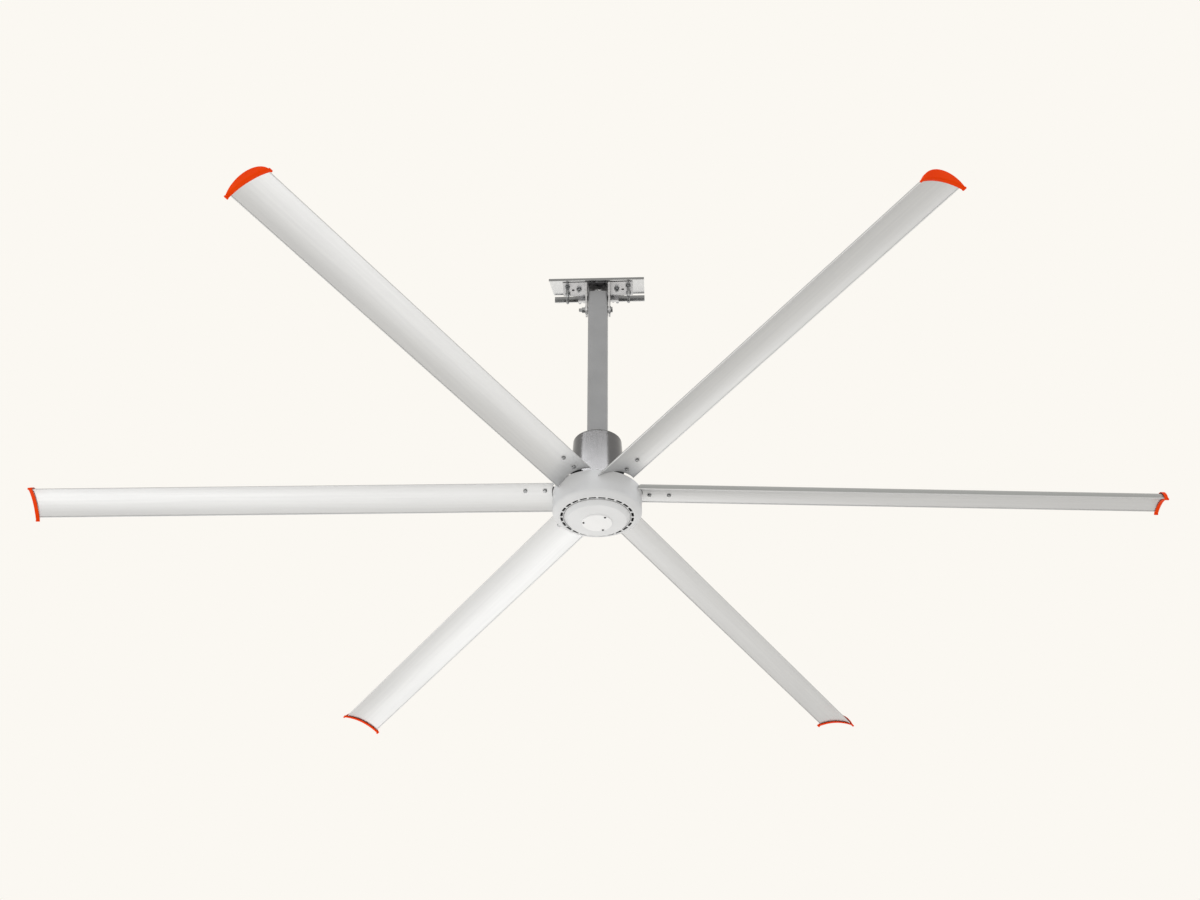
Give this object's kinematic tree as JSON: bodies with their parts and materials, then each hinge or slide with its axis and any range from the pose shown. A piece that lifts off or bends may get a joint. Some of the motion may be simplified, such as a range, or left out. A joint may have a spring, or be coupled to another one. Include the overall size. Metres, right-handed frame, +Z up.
{
  "type": "ceiling fan",
  "caption": "High-volume low-speed ceiling fan: hollow airfoil blades with orange tip caps round a gearless hub, hung by a square tube from a pivoting beam mount.",
  "frame": {"origin": "centre of the rails' top face, where they bear on the beam flange", "axes": "+Z up along the shaft, +X to the pivot bolt's head, -Y to the side of the wide rail with the lip"},
  "size_m": [4.8818, 4.4002, 1.3103],
  "materials": {
    "rail_steel": "galvanised, dull",
    "yoke_steel": "zinc plated, satin",
    "clamp_steel": "zinc plated, satin",
    "zinc_fasteners": "zinc plated, bright",
    "tube_paint": "grey, satin",
    "shroud_steel": "smooth, half gloss",
    "dark_steel": "dark grey, satin",
    "machined_steel": "machined",
    "bearing_steel": "ground",
    "stator_steel": "laminated",
    "copper_wire": "enamelled copper",
    "magnet_plating": "plated",
    "hub_alloy": "machined",
    "strut_alloy": "plain, satin",
    "cover_paint": "light grey, satin",
    "cap_white": "near white, smooth",
    "blade_alloy": "anodised, satin",
    "tip_orange": "moulded, satin"
  },
  "bodies": {
    "mount": {"near_rail": "rail_steel", "far_rail": "rail_steel", "yoke": "yoke_steel", "clamp_near_left": "clamp_steel", "clamp_near_right": "clamp_steel", "clamp_far_left": "clamp_steel", "clamp_far_right": "clamp_steel", "clamp_bolts": "zinc_fasteners", "clamp_nuts": "zinc_fasteners", "yoke_bolts": "zinc_fasteners", "yoke_nuts": "zinc_fasteners", "pivot_bolt": "zinc_fasteners", "pivot_nut": "zinc_fasteners", "pivot_washers": "zinc_fasteners"},
    "drop": {"down_tube": "tube_paint", "pivot_spacers": "zinc_fasteners", "tube_base_plate": "tube_paint", "motor_shroud": "shroud_steel", "shroud_top": "dark_steel", "shroud_base": "dark_steel", "flange_bolts": "zinc_fasteners", "flange_nuts": "zinc_fasteners", "shaft": "machined_steel", "shaft_nut": "zinc_fasteners", "stator_core": "stator_steel", "stator_coils": "copper_wire"},
    "rotor": {"hub_plate": "hub_alloy", "rotor_ring": "dark_steel", "rotor_end_plate": "hub_alloy", "magnets": "magnet_plating", "upper_bearing": "bearing_steel", "lower_bearing": "bearing_steel", "hub_cover": "cover_paint", "centre_disc": "cover_paint", "centre_cap": "cap_white", "cap_screws": "zinc_fasteners", "hub_screws": "zinc_fasteners", "strut_1": "strut_alloy", "strut_2": "strut_alloy", "strut_3": "strut_alloy", "strut_4": "strut_alloy", "strut_5": "strut_alloy", "strut_6": "strut_alloy", "blade_1": "blade_alloy", "blade_2": "blade_alloy", "blade_3": "blade_alloy", "blade_4": "blade_alloy", "blade_5": "blade_alloy", "blade_6": "blade_alloy", "tip_cap_1": "tip_orange", "tip_cap_2": "tip_orange", "tip_cap_3": "tip_orange", "tip_cap_4": "tip_orange", "tip_cap_5": "tip_orange", "tip_cap_6": "tip_orange", "strut_bolts": "zinc_fasteners", "blade_bolts": "zinc_fasteners", "blade_nuts": "zinc_fasteners"}
  },
  "joints": [
    {"name": "rod_tilt", "type": "hinge", "parent": "mount", "child": "drop", "pos_m": [0, 0, -0.119], "axis": [1, 0, 0], "range_deg": [-30, 30]},
    {"name": "fan_spin", "type": "hinge", "parent": "drop", "child": "rotor", "pos_m": [0, 0, -1.107], "axis": [0, 0, 1], "continuous": true}
  ]
}
